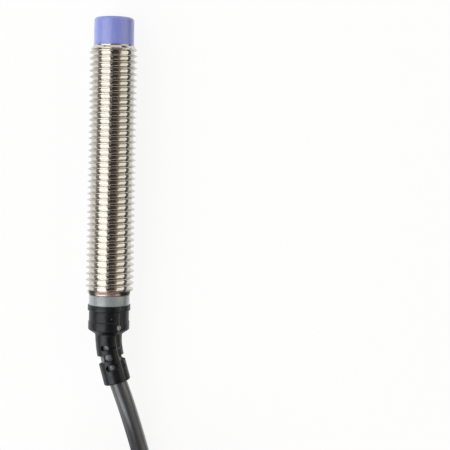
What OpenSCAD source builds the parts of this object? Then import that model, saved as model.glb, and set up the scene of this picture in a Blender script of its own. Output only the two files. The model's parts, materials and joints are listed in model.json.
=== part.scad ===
// Cylindrical proximity sensor with a threaded barrel and a moulded-on cable.
// Millimetres. The origin is the centre of the sensing face, +Y points out of
// that face along the barrel's axis, +Z is up, and the sensor lies on its thread.

/* [Barrel] */
// Diameter over the thread's crests
thread_d = 7.8; // [7.7:0.05:8]
// Thread pitch
pitch = 1; // [1:0.25:1]
// Number of thread grooves
grooves = 39; // [20:1:39]
// Length of the threaded barrel
barrel_l = 40.4; // [40.3:0.05:40.6]
// Bore of the barrel
barrel_bore_d = 5.8; // [5.6:0.1:5.9]

/* [Sensing cap] */
// Diameter of the cap where it stands out of the barrel
cap_d = 6.5; // [6.2:0.1:6.6]
// How far the cap stands out of the barrel
cap_l = 4.55; // [4.4:0.05:4.6]
// Thickness of the cap's front wall and side wall
cap_wall = 0.65; // [0.5:0.05:0.7]
// Radius of the cap's front edge
cap_edge_r = 0.5; // [0.1:0.05:0.6]

/* [Indicator ring] */
// Diameter of the light ring
ring_d = 6.6; // [6.4:0.1:6.8]
// Length of the light ring's visible band
ring_l = 1.75; // [1.6:0.05:2.2]

/* [Strain relief] */
// Diameter of the collar's front band
collar_d = 6.95; // [6.7:0.05:7.2]
// Length of the collar up to its cone
collar_l = 4.05; // [4:0.05:4.3]
// Outer diameter of the slotted sleeve
relief_d = 4.4; // [4.2:0.1:4.5]
// Height of the slots that let the sleeve bend
slot_h = 0.6; // [0.4:0.05:0.65]
// Height of the gap at the row where the sleeve hinges
hinge_gap = 1.06; // [1:0.02:1.1]

/* [Cable] */
// Diameter of the cable
cable_d = 2.9; // [2.8:0.05:2.9]
// Diameter of one insulated core
core_d = 0.95; // [0.8:0.05:0.95]
// Height of the folded hank
hank_h = 14.5; // [11:0.5:14.5]

/* [Hidden] */

$fn = 96;
fine = 48;
eps = 0.01;

// thread form, ISO metric
crest_r = thread_d / 2;
thread_depth = 0.541 * pitch;
root_r = crest_r - thread_depth;
crest_flat = pitch / 8;
root_flat = pitch / 4;
flank = (pitch - crest_flat - root_flat) / 2;

// stations along the axis
barrel_y = -cap_l;
barrel_end_y = barrel_y - barrel_l;
rim_l = 0.35;
end_chamfer = 0.45;
bore_r = barrel_bore_d / 2;
stem_l = 3.4;
ring_end_y = barrel_end_y - ring_l;
ring_stem_l = 2.2;
ring_bore_r = 2.2;
ring_chamfer = 0.15;
floor_z = -crest_r;

// collar bands and neck
band_l = 0.95;
waist_d = collar_d - 0.35;
waist_l = 1.65;
heel_d = collar_d - 0.2;
cone_l = 0.7;
cone_y = ring_end_y - collar_l;
relief_r = relief_d / 2;

// the bent sleeve: the neck bends at bend_y, and the hinge row is on the bent line
bend_y = -52.8;
neck_tilt = 9;
tip_tilt = 16;
hinge_reach = 2.65;
hinge = [hinge_reach * sin(neck_tilt), bend_y - hinge_reach * cos(neck_tilt), 0];
hinge_half = hinge_gap / 2;
lug_r = 0.95;
lug_play = 0.05;
lug_inner_z = 1.55;
hole_r = 0.55;
slot_w = 2.4;
neck_slot = 1.6;
tip_slot = 1.8;
tip_l = 4.05;
tip_edge = 0.15;
tip_bore_r = 1.6;
mouth_r = 1.95;

// cable inside the collar
cable_r = cable_d / 2;
cable_play = 0.05;
cable_end_y = ring_end_y - 0.35;
jacket_bore_r = 1.06;
cable_gap = 0.4;
core_r = core_d / 2;
core_circle_r = 0.56;
core_start_y = -43.6;
core_end_y = -52;

// circuit board and the pieces on it
board_t = 0.6;
board_w = 4.6;
board_y = -4.1;
board_end_y = -43.5;
tail_y = -41.6;
tail_w = 3.4;

// free cable: it leaves the sleeve, sinks to the floor and runs to the hank
cable_sides = 8;
lie_z = floor_z + cable_r;
route = [
    [0.53, -55.83, 0], [0.75, -56.6, 0], [1, -57.4, 0], [1.34, -58.4, 0],
    [1.76, -59.5, 0], [2.31, -61, -0.1], [2.99, -63, -0.45], [3.59, -65, -0.95],
    [4.16, -67, -1.5], [4.72, -69, -1.95], [5.28, -71, -2.25], [5.86, -73, -2.4],
    [6.47, -75, lie_z], [7.1, -77, lie_z]];

// the hank: two round ends joined by a waist that the tie holds together
hank_x = -0.9;
hank_y = -90;
hank_run = 59;
hank_end_r = 14;
hank_waist_r = 5.8;
hank_steps = 16;
hank_mid_y = hank_y - hank_run / 2;
tie_w = 2.6;
tie_t = 1;
tie_play = 0.05;
tie_slack_h = 1.1;

// lead ends lying on the hank
lead_tilt = -16;
lead_l = 18;
lead_pitch = 1.5;
lead_at = [hank_x + 9.8, hank_mid_y + 26.5, floor_z + hank_h + core_r];
wire_r = 0.28;
wire_l = 5;

// turns a shape drawn about Z so that it runs along Y
module along_y() rotate([-90, 0, 0]) children();

// a round bar on the barrel's axis from y0 up to y1
module bar(r, y0, y1) translate([0, y0, 0]) along_y() cylinder(r = r, h = y1 - y0);

// a turned shape from points [radius, y]
module turned(points) along_y() rotate_extrude() polygon(points);

// a block centred on x, between two y and from z upwards
module chip(x, y, z, w, l, h) translate([x - w / 2, y - l / 2, z]) cube([w, l, h]);

// places a shape in the frame of the neck's bent part
module on_neck() translate([0, bend_y, 0]) rotate([0, 0, neck_tilt]) children();

// places a shape in the frame of the moving tip, whose origin is the hinge
module on_tip() translate(hinge) rotate([0, 0, tip_tilt]) children();

// the two flat slots at the front and back of one row
module slot_row(y) for (side = [-1, 1])
    translate([-slot_w / 2, y - slot_h / 2, side > 0 ? cable_r : -cable_r - 3])
        cube([slot_w, slot_h, 3]);

// points of a quarter round at a front edge of radius r
function quarter(r, e) = [for (a = [0:15:90]) [r - e + e * sin(a), -e + e * cos(a)]];

// outline of the threaded surface, from the front rim to the rear end
function groove(y) = [[crest_r, y - crest_flat / 2],
    [root_r, y - crest_flat / 2 - flank],
    [root_r, y - crest_flat / 2 - flank - root_flat],
    [crest_r, y + crest_flat / 2 - pitch]];
thread_start_y = barrel_y - rim_l - 0.35;
thread_points = [for (k = [0:grooves - 1]) each groove(thread_start_y - k * pitch)];

module threaded_barrel() color([0.78, 0.76, 0.72]) difference() {
    turned(concat(
        [[0, barrel_y], [root_r + 0.1, barrel_y], [root_r + 0.1, barrel_y - rim_l],
            [crest_r, thread_start_y + crest_flat / 2]],
        thread_points,
        [[crest_r, barrel_end_y + end_chamfer], [crest_r - end_chamfer, barrel_end_y],
            [0, barrel_end_y]]));
    bar(bore_r, barrel_end_y - 1, barrel_y + 1);
}

module sensing_cap() color([0.51, 0.53, 0.81]) difference() {
    turned(concat([[0, 0]], quarter(cap_d / 2, cap_edge_r),
        [[cap_d / 2, barrel_y], [bore_r, barrel_y], [bore_r, barrel_y - stem_l],
            [0, barrel_y - stem_l]]));
    bar(cap_d / 2 - cap_wall, barrel_y + cap_wall / 2, -cap_wall);
    bar(bore_r - cap_wall / 2, barrel_y - stem_l - 1, barrel_y + cap_wall / 2 + eps);
}

// pot core: a disc with a centre post and a ring groove open to the front
core_y = -cap_wall - 0.05;
pot_r = 2.5;
pot_l = 2.4;
pot_inner_r = 2;
pot_post_r = 1.05;
pot_groove = 1.7;
pot_hole_r = 0.35;
module ferrite_core() color([0.2, 0.2, 0.22]) difference() {
    bar(pot_r, core_y - pot_l, core_y);
    difference() {
        bar(pot_inner_r, core_y - pot_groove, core_y + 1);
        bar(pot_post_r, core_y - pot_groove - 1, core_y + 2);
    }
    bar(pot_hole_r, core_y - pot_l - 1, core_y + 1);
}

// coil former: a small spool that sits in the pot core's groove
spool_r = pot_inner_r - 0.05;
spool_bore_r = pot_post_r + 0.05;
spool_wall = 0.15;
spool_y = core_y - 0.05;
spool_end_y = core_y - pot_groove + 0.05;
module coil_bobbin() color([0.92, 0.9, 0.84]) turned([
    [spool_bore_r, spool_y], [spool_r, spool_y], [spool_r, spool_y - spool_wall],
    [spool_bore_r + spool_wall, spool_y - spool_wall],
    [spool_bore_r + spool_wall, spool_end_y + spool_wall],
    [spool_r, spool_end_y + spool_wall], [spool_r, spool_end_y],
    [spool_bore_r, spool_end_y]]);

module coil_winding() color([0.72, 0.4, 0.2]) difference() {
    bar(spool_r - 0.05, spool_end_y + spool_wall, spool_y - spool_wall);
    bar(spool_bore_r + spool_wall, spool_end_y, spool_y);
}

module circuit_board() color([0.1, 0.38, 0.22]) union() {
    chip(0, (board_y + tail_y) / 2, -board_t / 2, board_w, board_y - tail_y, board_t);
    chip(0, (tail_y + board_end_y) / 2, -board_t / 2, tail_w, tail_y - board_end_y + eps,
        board_t);
}

board_top = board_t / 2;
module sensor_ic() color([0.12, 0.12, 0.13]) chip(0, -13, board_top, 3, 4, 0.8);
module output_transistor() color([0.12, 0.12, 0.13]) chip(0, -31, board_top, 1.4, 2.9, 1);
module zener_diode() color([0.15, 0.15, 0.16]) chip(0.8, -36.5, board_top, 1.3, 1.7, 0.8);
module resonant_capacitor() color([0.7, 0.58, 0.4]) chip(0, -8.5, board_top, 0.8, 1.6, 0.8);
module supply_capacitor() color([0.7, 0.58, 0.4]) chip(0, -22, board_top, 1.6, 3.2, 1.1);
module adjusting_resistor() color([0.1, 0.1, 0.1])
    chip(0, -18, board_top, 0.8, 1.6, 0.45);
module load_resistor() color([0.1, 0.1, 0.1]) chip(-1, -36.5, board_top, 0.8, 1.6, 0.45);
module upper_led() color([0.95, 0.85, 0.4]) chip(0, -42.5, board_top, 1.2, 1.2, 0.8);
module lower_led() color([0.95, 0.85, 0.4])
    chip(0, -42.5, -board_top - 0.8, 1.2, 1.2, 0.8);

// the three cores lie in a triangle around the axis
module at_core(turn) rotate([0, turn, 0]) translate([0, 0, core_circle_r]) children();

module core_bar(turn, r) at_core(turn) bar(r, core_end_y, core_start_y);

module resin_plug() color([0.16, 0.15, 0.15]) difference() {
    bar(ring_bore_r, ring_end_y, board_end_y - 0.05);
    for (turn = [0, 120, 240]) core_bar(turn, core_r + 0.02);
}

module brown_core() color([0.4, 0.22, 0.12]) core_bar(0, core_r);
module blue_core() color([0.1, 0.3, 0.7]) core_bar(120, core_r);
module black_core() color([0.06, 0.06, 0.07]) core_bar(240, core_r);

module indicator_ring() color([0.66, 0.67, 0.68]) difference() {
    turned([[0, barrel_end_y + ring_stem_l], [bore_r, barrel_end_y + ring_stem_l],
        [bore_r, barrel_end_y], [ring_d / 2 - ring_chamfer, barrel_end_y],
        [ring_d / 2, barrel_end_y - ring_chamfer], [ring_d / 2, ring_end_y],
        [0, ring_end_y]]);
    bar(ring_bore_r, ring_end_y - 1, barrel_end_y + ring_stem_l + 1);
}

// crimp sleeve that grips the cable inside the collar
crimp_r = 1.85;
crimp_y = cable_end_y - 0.4;
crimp_l = 2.6;
module crimp_sleeve() color([0.75, 0.6, 0.3]) difference() {
    bar(crimp_r, crimp_y - crimp_l, crimp_y);
    bar(cable_r + 0.02, crimp_y - crimp_l - 1, crimp_y + 1);
}

// everything on one side of the mitre plane at the neck's bend
module mitre(side) translate([0, bend_y, 0]) rotate([0, 0, neck_tilt / 2])
    translate([-collar_d, side == "collar" ? 0 : -2 * collar_d, -collar_d])
        cube(2 * collar_d);

// straight and bent stretch of a round bar in the collar's neck, mitred where they meet
module neck_bar(r, y_top, reach) union() {
    intersection() {
        bar(r, bend_y - 1, y_top);
        mitre("collar");
    }
    bent_bar(r, reach);
}

module bent_bar(r, reach) intersection() {
    on_neck() bar(r, -reach, 1);
    mitre("tip");
}

module collar_outside() intersection() {
    turned([[0, ring_end_y], [collar_d / 2, ring_end_y],
        [collar_d / 2, ring_end_y - band_l], [waist_d / 2, ring_end_y - band_l],
        [waist_d / 2, ring_end_y - band_l - waist_l],
        [heel_d / 2, ring_end_y - band_l - waist_l], [heel_d / 2, cone_y],
        [relief_r, cone_y - cone_l], [relief_r, bend_y - 1], [0, bend_y - 1]]);
    mitre("collar");
}

module relief_collar() color([0.16, 0.16, 0.17]) difference() {
    union() {
        collar_outside();
        bent_bar(relief_r, hinge_reach - hinge_half);
    }
    neck_bar(cable_r + cable_play, ring_end_y + 1, hinge_reach + 1);
    bar(crimp_r + 0.03, crimp_y - crimp_l - 0.05, ring_end_y + 1);
    on_neck() slot_row(neck_slot - hinge_reach);
    on_tip() cylinder(r = lug_r + lug_play, h = 3 * relief_d, center = true);
}

module inner_cable() color([0.24, 0.25, 0.27]) difference() {
    neck_bar(cable_r, cable_end_y, hinge_reach - cable_gap);
    bar(jacket_bore_r, core_end_y - 0.1, cable_end_y + 1);
}

// moving end of the sleeve, with the two round webs that it hinges on
module web_lug() intersection() {
    cylinder(r = lug_r, h = 3 * relief_d, center = true);
    bar(relief_r, -lug_r, lug_r);
    for (side = [-1, 1])
        translate([-relief_r, -relief_r, side > 0 ? lug_inner_z : -lug_inner_z - relief_r])
            cube([relief_d, relief_d, relief_r]);
}

module relief_tip() color([0.16, 0.16, 0.17]) on_tip() difference() {
    union() {
        turned([[0, -hinge_half], [relief_r, -hinge_half], [relief_r, tip_edge - tip_l],
            [relief_r - tip_edge, -tip_l], [0, -tip_l]]);
        web_lug();
    }
    bar(tip_bore_r, -tip_l, -hinge_half + eps);
    turned([[0, -tip_slot], [tip_bore_r, -tip_slot], [mouth_r, -tip_l - eps],
        [0, -tip_l - eps]]);
    cylinder(r = hole_r, h = 3 * relief_d, center = true);
    slot_row(-tip_slot);
}

// a closed tube of n sides swept along a list of points
function unit(v) = v / norm(v);
function heading(p, i) = unit(p[min(i + 1, len(p) - 1)] - p[max(i - 1, 0)]);
function side_of(t) = unit(cross(t, [0, 0, 1]));
function ring_at(p, i, r, n) = let (t = heading(p, i), a = side_of(t), b = cross(a, t))
    [for (k = [0:n - 1]) p[i] + r * (cos(360 * k / n) * a + sin(360 * k / n) * b)];
module swept(p, r, n) {
    rings = len(p);
    points = [for (i = [0:rings - 1]) each ring_at(p, i, r, n)];
    sides = [for (i = [0:rings - 2]) for (k = [0:n - 1])
        [i * n + k, i * n + (k + 1) % n, (i + 1) * n + (k + 1) % n, (i + 1) * n + k]];
    near = [for (k = [n - 1:-1:0]) k];
    far = [for (k = [0:n - 1]) (rings - 1) * n + k];
    polyhedron(points = points, faces = concat(sides, [near, far]));
}

module cable_tube() color([0.24, 0.25, 0.27]) swept(route, cable_r, cable_sides);

// half outline of the hank: a round end that runs into the waist
function waist_at(t) = hank_waist_r + (hank_end_r - hank_waist_r) * (1 + cos(t)) / 2;
hank_half = concat(
    [for (a = [0:15:90]) [hank_end_r * sin(a), hank_run / 2 + hank_end_r * cos(a)]],
    [for (k = [1:hank_steps - 1]) [waist_at(180 * k / hank_steps),
        hank_run / 2 * (1 - k / hank_steps)]]);
hank_side = concat(hank_half, [[hank_waist_r, 0]],
    [for (k = [len(hank_half) - 1:-1:0]) [hank_half[k][0], -hank_half[k][1]]]);
hank_outline = concat(hank_side,
    [for (k = [len(hank_side) - 2:-1:1]) [-hank_side[k][0], hank_side[k][1]]]);

module cable_hank() color([0.24, 0.25, 0.27]) translate([hank_x, hank_mid_y, floor_z])
    difference() {
        linear_extrude(hank_h) polygon(hank_outline);
        translate([-hank_end_r, -tie_w / 2 - tie_play, -1])
            cube([2 * hank_end_r, tie_w + 2 * tie_play, 1 + tie_t + tie_play]);
    }

module cable_tie() color([0.1, 0.1, 0.1]) translate([hank_x, hank_mid_y, floor_z])
    difference() {
        translate([-hank_waist_r - tie_t - tie_play, -tie_w / 2, 0])
            cube([2 * (hank_waist_r + tie_t + tie_play), tie_w,
                hank_h + tie_slack_h + tie_t]);
        translate([-hank_waist_r - tie_play, -tie_w, tie_t])
            cube([2 * (hank_waist_r + tie_play), 2 * tie_w, hank_h + tie_slack_h - tie_t]);
    }

// one lead end, numbered across the bundle, and the bare wire at its tip
module at_lead(k) translate(lead_at) rotate([0, 0, lead_tilt])
    translate([(k - 1) * lead_pitch, 0, 0]) children();
module lead(k) at_lead(k) bar(core_r, -lead_l, 0);
module wire(k) at_lead(k) bar(wire_r, -lead_l - wire_l, -lead_l);
module brown_lead() color([0.4, 0.22, 0.12]) lead(0);
module blue_lead() color([0.1, 0.3, 0.7]) lead(1);
module black_lead() color([0.06, 0.06, 0.07]) lead(2);
module brown_wire() color([0.8, 0.78, 0.72]) wire(0);
module blue_wire() color([0.8, 0.78, 0.72]) wire(1);
module black_wire() color([0.8, 0.78, 0.72]) wire(2);

sensing_cap();
ferrite_core();
coil_bobbin();
coil_winding();
threaded_barrel();
circuit_board();
sensor_ic();
output_transistor();
zener_diode();
resonant_capacitor();
supply_capacitor();
adjusting_resistor();
load_resistor();
upper_led();
lower_led();
resin_plug();
indicator_ring();
relief_collar();
crimp_sleeve();
inner_cable();
brown_core();
blue_core();
black_core();
relief_tip();
cable_tube();
cable_hank();
cable_tie();
brown_lead();
blue_lead();
black_lead();
brown_wire();
blue_wire();
black_wire();
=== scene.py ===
"""Looks of the cylindrical proximity sensor: the meshes that replace plain CAD solids,
the cable at its real length, the materials, the lights, the floor and the camera.

Shapes are worked out in millimetres in the CAD frame (+Y along the barrel, out of the
sensing face, +Z up) and become metres when their mesh is made.
"""

import json
import math

import bmesh
import bpy
from mathutils import Matrix, Vector


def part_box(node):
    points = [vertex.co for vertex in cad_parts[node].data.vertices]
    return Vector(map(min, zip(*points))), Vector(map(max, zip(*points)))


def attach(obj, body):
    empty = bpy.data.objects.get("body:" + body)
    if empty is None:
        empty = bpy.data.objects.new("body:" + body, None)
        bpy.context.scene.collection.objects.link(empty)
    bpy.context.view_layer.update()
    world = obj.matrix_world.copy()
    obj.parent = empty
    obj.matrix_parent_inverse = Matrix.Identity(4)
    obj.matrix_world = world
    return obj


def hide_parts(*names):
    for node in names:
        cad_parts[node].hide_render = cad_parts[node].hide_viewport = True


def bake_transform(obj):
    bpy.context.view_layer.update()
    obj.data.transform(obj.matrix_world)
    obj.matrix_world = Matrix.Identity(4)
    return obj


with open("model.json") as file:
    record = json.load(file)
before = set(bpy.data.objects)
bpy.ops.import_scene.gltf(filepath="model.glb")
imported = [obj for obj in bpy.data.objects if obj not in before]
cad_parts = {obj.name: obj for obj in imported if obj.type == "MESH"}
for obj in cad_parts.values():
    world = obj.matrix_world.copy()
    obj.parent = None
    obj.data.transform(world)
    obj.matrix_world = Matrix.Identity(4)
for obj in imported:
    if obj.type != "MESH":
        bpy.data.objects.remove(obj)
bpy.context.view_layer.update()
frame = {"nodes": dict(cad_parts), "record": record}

MM = 0.001
ROOT, END = "sensor_body", "cable_end"


def box_mm(node):
    """A CAD node's lowest and highest corners in millimetres."""
    low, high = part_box(node)
    return Vector(low) / MM, Vector(high) / MM


# ---------------------------------------------------------------- driving dimensions

cap_low = box_mm("sensing_cap")[0]
barrel_low, barrel_high = box_mm("threaded_barrel")
ring_low, ring_high = box_mm("indicator_ring")
collar_high = box_mm("relief_collar")[1]

FLOOR = barrel_low.z
CREST_R = barrel_high.x
PITCH = 1.0
THREAD_DEPTH = 0.541 * PITCH
ROOT_R = CREST_R - THREAD_DEPTH
CREST_HALF = 0.045
FLANK_SLOPE = 3.0
THREAD_LEAD = 0.1  # from the barrel's front to the first crest's place on top
BORE_R = 2.9
CAP_R = 3.25
RING_R = ring_high.x
COLLAR_R = collar_high.z
RELIEF_R = 2.2
CABLE_D = 2.9
CABLE_R = CABLE_D / 2
CORE_R = 0.475

# the sleeve's centreline: straight down the axis, then an arc, then straight again
BEND_Y = -51.5
BEND_ARC = 4.4
BEND_ANGLE = math.radians(16)
BEND_R = BEND_ARC / BEND_ANGLE
SLEEVE_END_Y = -59.51  # as if the sleeve were straight


# ---------------------------------------------------------------- camera

CAMERA_HEIGHT = 175.0
VIEW_WIDTH = 73.4  # what the frame spans at the barrel's axis
CAMERA_X, CAMERA_Y = 18.41, -20.88
CAMERA_ROLL = math.radians(1.08)
CAMERA_SHIFT = -0.171


def add_camera():
    """A camera straight above, shifted along the barrel as the picture is framed."""
    data = bpy.data.cameras.new("camera")
    data.sensor_width = 36.0
    data.lens = data.sensor_width * CAMERA_HEIGHT / VIEW_WIDTH
    data.shift_y = CAMERA_SHIFT
    data.clip_start, data.clip_end = 0.01, 10.0
    camera = bpy.data.objects.new("camera", data)
    camera.location = Vector((CAMERA_X, CAMERA_Y, CAMERA_HEIGHT)) * MM
    camera.rotation_euler = (0, 0, CAMERA_ROLL)
    bpy.context.collection.objects.link(camera)
    bpy.context.scene.camera = camera


# ---------------------------------------------------------------- mesh helpers


def new_object(name, verts, faces, material=None, smooth=True):
    """A mesh object from points in millimetres, cleaned and with outward normals."""
    mesh = bpy.data.meshes.new(name)
    mesh.from_pydata([tuple(v) for v in verts], [], faces)
    work = bmesh.new()
    work.from_mesh(mesh)
    bmesh.ops.remove_doubles(work, verts=work.verts, dist=1e-5)
    bmesh.ops.dissolve_degenerate(work, edges=work.edges, dist=1e-5)
    bmesh.ops.recalc_face_normals(work, faces=work.faces)
    work.to_mesh(mesh)
    work.free()
    mesh.transform(Matrix.Scale(MM, 4))
    if material:
        mesh.materials.append(material)
    mesh.polygons.foreach_set("use_smooth", [smooth] * len(mesh.polygons))
    thing = bpy.data.objects.new(name, mesh)
    bpy.context.collection.objects.link(thing)
    return thing


def with_modifiers(thing, settings):
    """Applies a list of (modifier type, properties) to an object's mesh."""
    for kind, values in settings:
        modifier = thing.modifiers.new(kind.lower(), kind)
        for key, value in values.items():
            setattr(modifier, key, value)
    bpy.context.view_layer.update()
    shape = thing.evaluated_get(bpy.context.evaluated_depsgraph_get())
    mesh = bpy.data.meshes.new_from_object(shape)
    thing.modifiers.clear()
    old, thing.data = thing.data, mesh
    bpy.data.meshes.remove(old)
    return thing


def sharp_by_angle(thing, degrees):
    """Marks edges sharper than an angle, so that smooth shading stops at them."""
    work = bmesh.new()
    work.from_mesh(thing.data)
    limit = math.radians(degrees)
    for edge in work.edges:
        edge.smooth = len(edge.link_faces) == 2 and edge.calc_face_angle() < limit
    work.to_mesh(thing.data)
    work.free()


def joined(name, things):
    """Joins mesh objects into the first one."""
    with bpy.context.temp_override(
        active_object=things[0], selected_editable_objects=things
    ):
        bpy.ops.object.join()
    things[0].name = things[0].data.name = name
    return things[0]


def fillet(outline, steps=5):
    """Rounds an outline's corners: points are (u, v) or (u, v, radius)."""
    made = []
    count = len(outline)
    for i, point in enumerate(outline):
        corner = Vector(point[:2])
        radius = point[2] if len(point) > 2 else 0
        if not radius:
            made.append(tuple(corner))
            continue
        before = (Vector(outline[i - 1][:2]) - corner).normalized()
        after = (Vector(outline[(i + 1) % count][:2]) - corner).normalized()
        half = before.angle(after) / 2
        reach = radius / math.tan(half)
        centre = corner + (before + after).normalized() * (radius / math.sin(half))
        first = corner + before * reach - centre
        last = corner + after * reach - centre
        turn = first.angle_signed(last)
        for k in range(steps + 1):
            spoke = first.copy()
            spoke.rotate(Matrix.Rotation(-turn * k / steps, 2))
            made.append(tuple(centre + spoke))
    return made


def lathe(name, outline, material, segments=128):
    """Turns a closed outline of (radius, y) points about the Y axis."""
    verts, faces = [], []
    count = len(outline)
    for j in range(segments):
        a = 2 * math.pi * j / segments
        verts += [(r * math.sin(a), y, r * math.cos(a)) for r, y in outline]
    for j in range(segments):
        k = (j + 1) % segments
        for i in range(count):
            n = (i + 1) % count
            faces.append((j * count + i, j * count + n, k * count + n, k * count + i))
    return new_object(name, verts, faces, material)


def frames_along(points):
    """Position, side and up vectors at each point of a line, without twist."""
    found = []
    up = Vector((0, 0, 1))
    for i, point in enumerate(points):
        ahead = points[min(i + 1, len(points) - 1)] - points[max(i - 1, 0)]
        side = ahead.cross(up).normalized()
        up = side.cross(ahead).normalized()
        found.append((point, side, up))
    return found


def tube(name, points, radius, material, sides=24):
    """A closed round tube along points, with slightly rounded ends."""
    stations = frames_along(points)
    rings = [(*station, radius) for station in stations]
    tip = radius * 0.12
    ahead = (points[1] - points[0]).normalized()
    behind = (points[-1] - points[-2]).normalized()
    first, last = stations[0], stations[-1]
    rings.insert(0, (first[0] - ahead * tip, first[1], first[2], radius - tip))
    rings.append((last[0] + behind * tip, last[1], last[2], radius - tip))
    verts, faces = [], []
    for point, side, up, r in rings:
        for k in range(sides):
            a = 2 * math.pi * k / sides
            verts.append(point + side * (r * math.cos(a)) + up * (r * math.sin(a)))
    for i in range(len(rings) - 1):
        for k in range(sides):
            n = (k + 1) % sides
            faces.append(
                (i * sides + k, i * sides + n, (i + 1) * sides + n, (i + 1) * sides + k)
            )
    faces.append(tuple(range(sides)))
    faces.append(tuple((len(rings) - 1) * sides + k for k in range(sides)))
    return new_object(name, verts, faces, material)


def smooth_line(points, step):
    """Points a step apart on a Catmull-Rom curve through the given points."""
    points = [Vector(p) for p in points]
    made = [points[0]]
    for i in range(len(points) - 1):
        a = points[max(i - 1, 0)]
        b, c = points[i], points[i + 1]
        d = points[min(i + 2, len(points) - 1)]
        parts = max(1, round((c - b).length / step))
        for k in range(1, parts + 1):
            t = k / parts
            made.append(
                0.5
                * (
                    2 * b
                    + (c - a) * t
                    + (2 * a - 5 * b + 4 * c - d) * t**2
                    + (3 * b - a - 3 * c + d) * t**3
                )
            )
    return made


def ease(t):
    """A smooth step from 0 to 1."""
    t = min(max(t, 0.0), 1.0)
    return t * t * (3 - 2 * t)


# ---------------------------------------------------------------- materials


class Finish:
    """A procedural material: one Principled shader and the textures that feed it."""

    def __init__(self, name, roughness, metallic=0.0, **sockets):
        self.material = bpy.data.materials.new(name)
        self.material.use_nodes = True
        self.nodes = self.material.node_tree.nodes
        self.links = self.material.node_tree.links
        self.shader = self.nodes["Principled BSDF"]
        self.shader.inputs["Roughness"].default_value = roughness
        self.shader.inputs["Metallic"].default_value = metallic
        for key, value in sockets.items():
            self.shader.inputs[key.replace("_", " ")].default_value = value
        self.place = self.nodes.new("ShaderNodeTexCoord").outputs["Object"]

    def noise(self, size_mm, detail=3.0, stretch=(1, 1, 1)):
        """A noise field whose features are about size_mm across."""
        mapping = self.nodes.new("ShaderNodeMapping")
        mapping.inputs["Scale"].default_value = stretch
        self.links.new(self.place, mapping.inputs["Vector"])
        field = self.nodes.new("ShaderNodeTexNoise")
        field.inputs["Scale"].default_value = 1 / (size_mm * MM)
        field.inputs["Detail"].default_value = detail
        self.links.new(mapping.outputs["Vector"], field.inputs["Vector"])
        return field.outputs["Fac"]

    def ramp(self, factor, stops):
        """A colour ramp: stops are (position, colour)."""
        node = self.nodes.new("ShaderNodeValToRGB")
        elements = node.color_ramp.elements
        while len(elements) < len(stops):
            elements.new(0.5)
        for element, (position, colour) in zip(elements, stops):
            element.position = position
            element.color = (*colour, 1.0)
        self.links.new(factor, node.inputs["Fac"])
        return node.outputs["Color"]

    def mix(self, factor, a, b):
        """A mix of two colours, each a socket or three numbers."""
        node = self.nodes.new("ShaderNodeMix")
        node.data_type = "RGBA"
        self.links.new(factor, node.inputs["Factor"])
        for socket, value in ((node.inputs[6], a), (node.inputs[7], b)):
            if isinstance(value, tuple):
                socket.default_value = (*value, 1.0)
            else:
                self.links.new(value, socket)
        return node.outputs[2]

    def span(self, value, low, high, to_low=0.0, to_high=1.0):
        """Maps a value's range to another one, clamped."""
        node = self.nodes.new("ShaderNodeMapRange")
        numbers = (low, high, to_low, to_high)
        for key, number in zip(("From Min", "From Max", "To Min", "To Max"), numbers):
            node.inputs[key].default_value = number
        self.links.new(value, node.inputs["Value"])
        return node.outputs["Result"]

    def axis(self, letter):
        """One coordinate of the surface point, in metres."""
        node = self.nodes.new("ShaderNodeSeparateXYZ")
        self.links.new(self.place, node.inputs["Vector"])
        return node.outputs[letter]

    def radius(self):
        """Distance of the surface point from the barrel's axis, in metres."""
        flat = self.nodes.new("ShaderNodeVectorMath")
        flat.operation = "MULTIPLY"
        flat.inputs[1].default_value = (1, 0, 1)
        self.links.new(self.place, flat.inputs[0])
        length = self.nodes.new("ShaderNodeVectorMath")
        length.operation = "LENGTH"
        self.links.new(flat.outputs["Vector"], length.inputs[0])
        return length.outputs["Value"]

    def colour(self, socket):
        """Sends a colour to the shader."""
        self.links.new(socket, self.shader.inputs["Base Color"])

    def mottle(self, base, amount, size_mm, stretch=(1, 1, 1)):
        """Base colour that wanders by the given share, light and dark."""
        dark = tuple(c * (1 - amount) for c in base)
        light = tuple(min(1.0, c * (1 + amount)) for c in base)
        field = self.noise(size_mm, 4.0, stretch)
        made = self.ramp(field, [(0.3, dark), (0.7, light)])
        self.colour(made)
        return made

    def rough(self, low, high, size_mm, stretch=(1, 1, 1)):
        """Roughness that wanders between two values."""
        field = self.noise(size_mm, 4.0, stretch)
        wandering = self.span(field, 0.35, 0.65, low, high)
        self.links.new(wandering, self.shader.inputs["Roughness"])

    def bump(self, field, depth_mm, strength=1.0):
        """Adds a fine relief to the ones before it."""
        node = self.nodes.new("ShaderNodeBump")
        node.inputs["Strength"].default_value = strength
        node.inputs["Distance"].default_value = depth_mm * MM
        self.links.new(field, node.inputs["Height"])
        if self.shader.inputs["Normal"].is_linked:
            before = self.shader.inputs["Normal"].links[0].from_socket
            self.links.new(before, node.inputs["Normal"])
        self.links.new(node.outputs["Normal"], self.shader.inputs["Normal"])


def plain(name, base, roughness, size_mm=0.6, amount=0.12, grain_mm=0.08):
    """A plastic, rubber or ceramic with a mottled colour and a fine grain."""
    made = Finish(name, roughness)
    made.mottle(base, amount, size_mm)
    made.rough(roughness * 0.85, roughness * 1.15, size_mm * 0.7)
    made.bump(made.noise(grain_mm), 0.002)
    return made.material


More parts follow.
